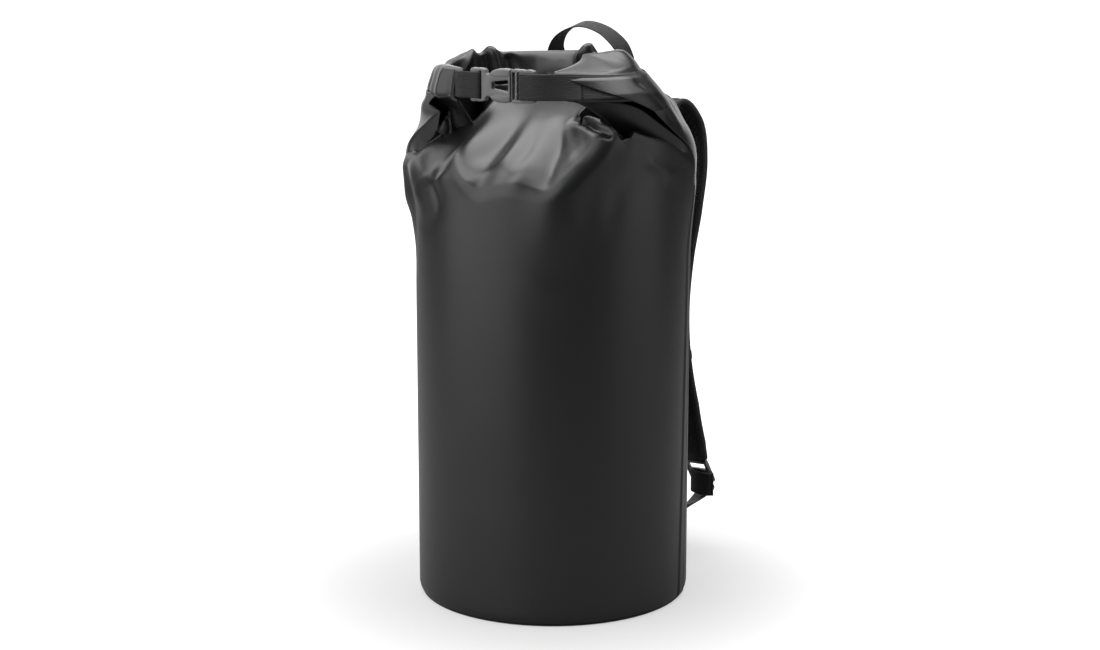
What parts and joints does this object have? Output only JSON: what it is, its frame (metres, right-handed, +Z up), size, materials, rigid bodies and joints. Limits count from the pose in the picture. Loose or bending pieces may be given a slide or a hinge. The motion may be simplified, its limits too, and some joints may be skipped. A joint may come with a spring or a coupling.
{
  "type": "rolltop backpack",
  "caption": "Round roll-top backpack of coated cloth, closed by rolling the mouth and clipping its ends in front, with a carry loop and padded shoulder straps.",
  "frame": {"origin": "middle of the base's underside, on the floor", "axes": "+Z up along the tube, +Y towards the wearer's back, -Y towards the buckle, +X to the right of someone facing the buckle"},
  "size_m": [0.2892, 0.3519, 0.5712],
  "materials": {
    "coated_cloth": "satin black coated cloth",
    "webbing": "woven black webbing",
    "buckle_plastic": "moulded black plastic",
    "pad_mesh": "black spacer mesh and cloth"
  },
  "bodies": {
    "root": {"tube": "coated_cloth", "base": "coated_cloth", "rolled_mouth": "coated_cloth", "closure_tab": "webbing", "buckle_socket": "buckle_plastic", "buckle_plug": "buckle_plastic", "closure_strap": "webbing", "carry_handle": "webbing", "harness_patch": "coated_cloth", "strap_pad_right": "pad_mesh", "strap_pad_left": "pad_mesh", "strap_keeper_right": "webbing", "strap_keeper_left": "webbing", "ladder_lock_right": "buckle_plastic", "ladder_lock_left": "buckle_plastic", "lower_patch_right": "coated_cloth", "lower_patch_left": "coated_cloth", "lower_webbing_right": "webbing", "lower_webbing_left": "webbing", "strap_tail_right": "webbing", "strap_tail_left": "webbing"}
  },
  "joints": []
}
